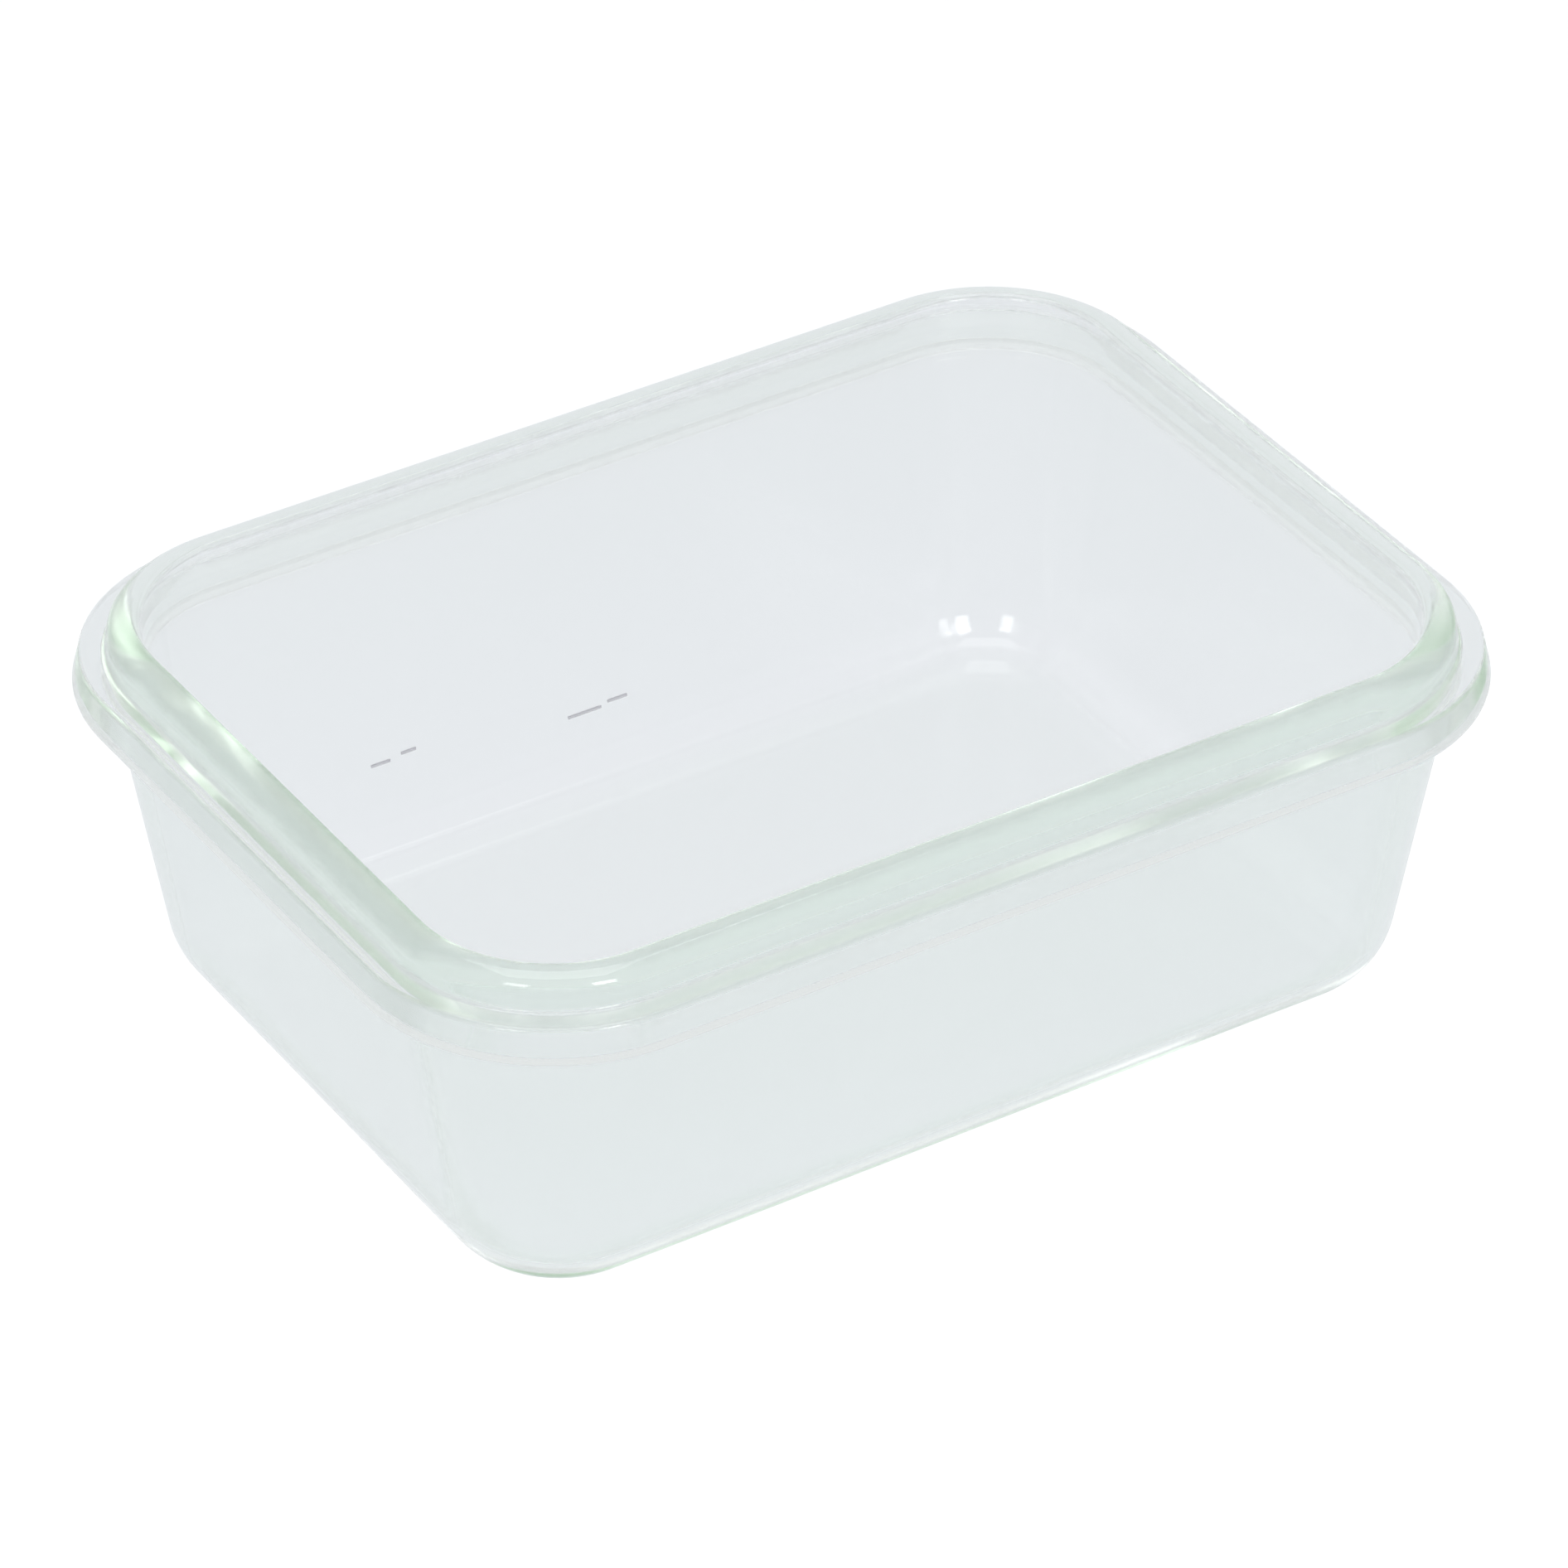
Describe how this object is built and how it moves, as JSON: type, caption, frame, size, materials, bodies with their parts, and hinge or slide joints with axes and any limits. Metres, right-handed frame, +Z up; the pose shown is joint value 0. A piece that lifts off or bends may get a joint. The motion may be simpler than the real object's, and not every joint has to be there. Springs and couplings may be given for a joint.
{
  "type": "lunch box",
  "caption": "Open rectangular lunch-box dish in clear pressed glass, with rounded corners, drafted walls, a step flange and a raised sealing bead round the rim.",
  "frame": {"origin": "centre of the flat base, on the table plane", "axes": "+X along the long side, +Y along the short side, +Z up out of the open mouth"},
  "size_m": [0.19, 0.142, 0.066],
  "materials": {
    "clear_glass": "clear, fire-polished, with a faint green tint through its thickness"
  },
  "bodies": {
    "root": {"dish": "clear_glass"}
  },
  "joints": []
}
